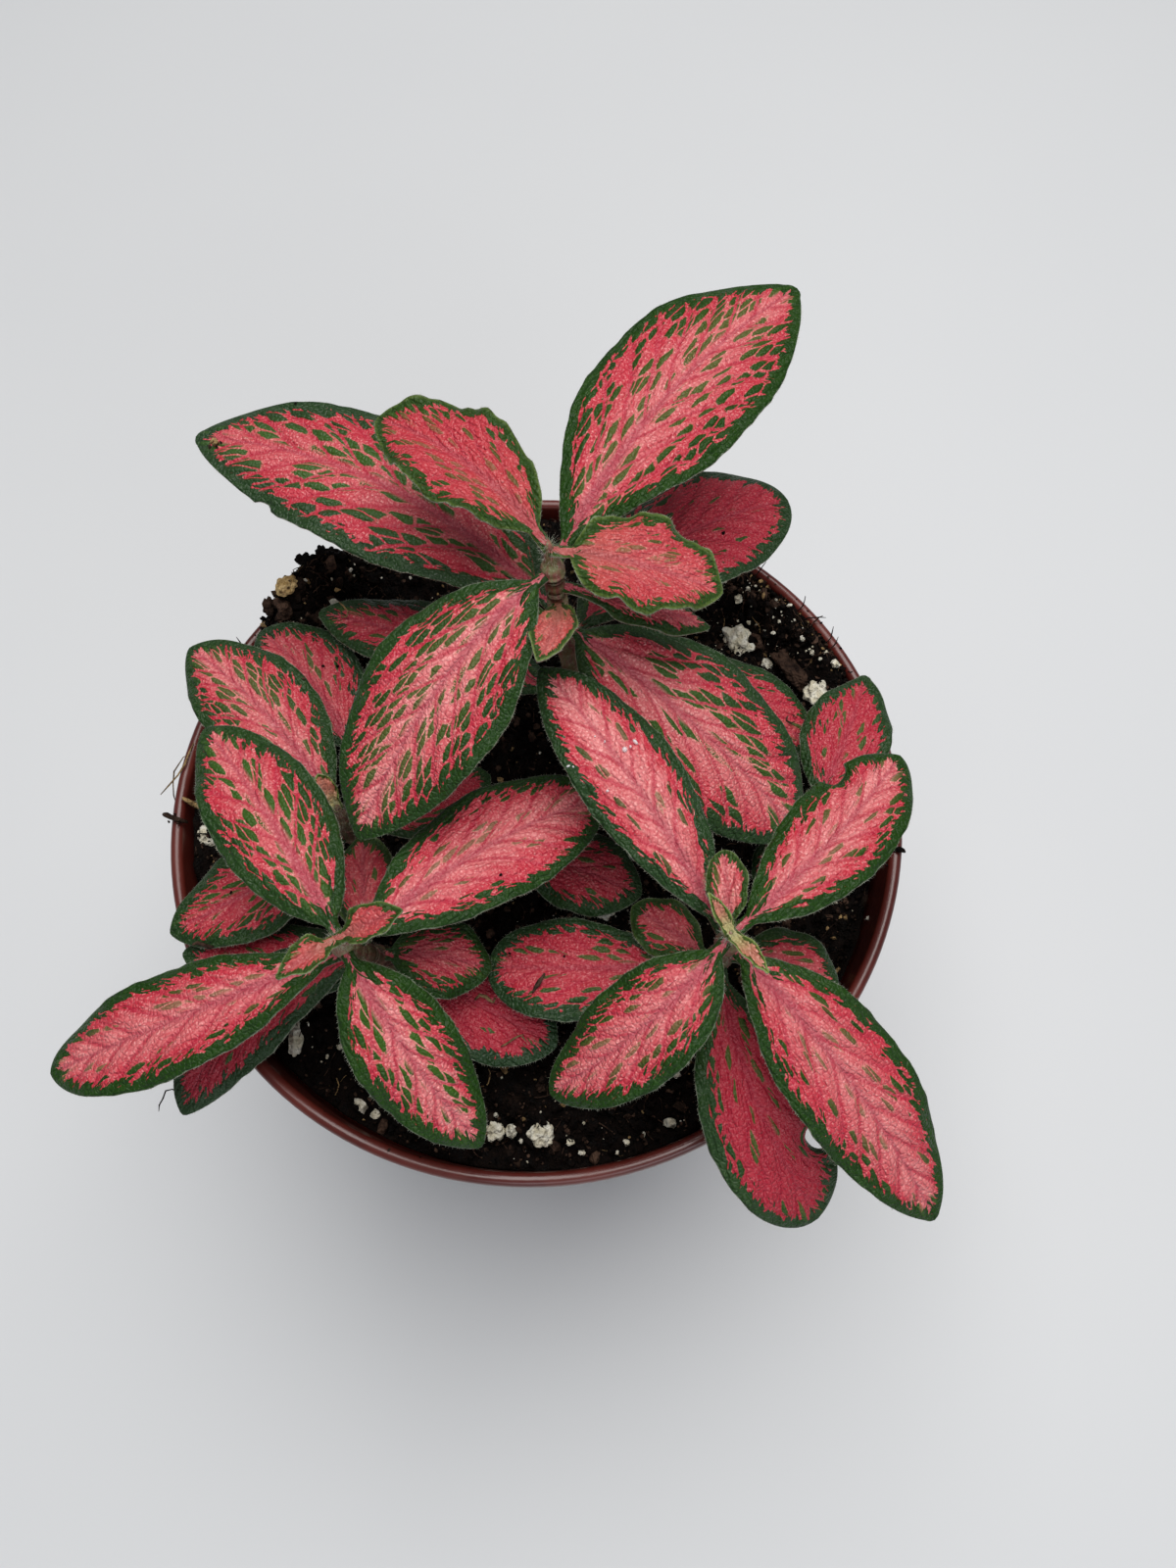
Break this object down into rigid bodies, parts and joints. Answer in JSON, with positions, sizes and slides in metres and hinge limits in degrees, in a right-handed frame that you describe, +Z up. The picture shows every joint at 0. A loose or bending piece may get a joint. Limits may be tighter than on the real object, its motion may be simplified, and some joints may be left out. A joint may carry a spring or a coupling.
{
  "type": "potted nerve plant",
  "caption": "Young nerve plant with pink, dark-edged leaves on several hairy stems, growing in potting soil in a thin round plastic nursery pot.",
  "frame": {"origin": "centre of the pot's round base, on the surface it stands on", "axes": "+Z up along the pot's axis; +X to the right and +Y to the rear as the picture shows the plant"},
  "size_m": [0.1127, 0.1137, 0.1353],
  "materials": {
    "pot_plastic": "satin",
    "potting_soil": "matte",
    "leaf": "satin",
    "perlite": "matte",
    "bark": "matte"
  },
  "bodies": {
    "root": {"pot": "pot_plastic", "soil": "potting_soil", "leafy_stem_tall": "leaf", "leafy_stem_left": "leaf", "leafy_stem_right": "leaf", "leafy_stem_left_rear": "leaf", "leafy_stem_left_back": "leaf", "leafy_stem_right_low": "leaf", "leafy_stem_centre_low": "leaf", "perlite_1": "perlite", "perlite_2": "perlite", "perlite_3": "perlite", "perlite_4": "perlite", "perlite_5": "perlite", "perlite_6": "perlite", "perlite_7": "perlite", "bark_chip": "bark", "bark_crumb": "bark"}
  },
  "joints": []
}
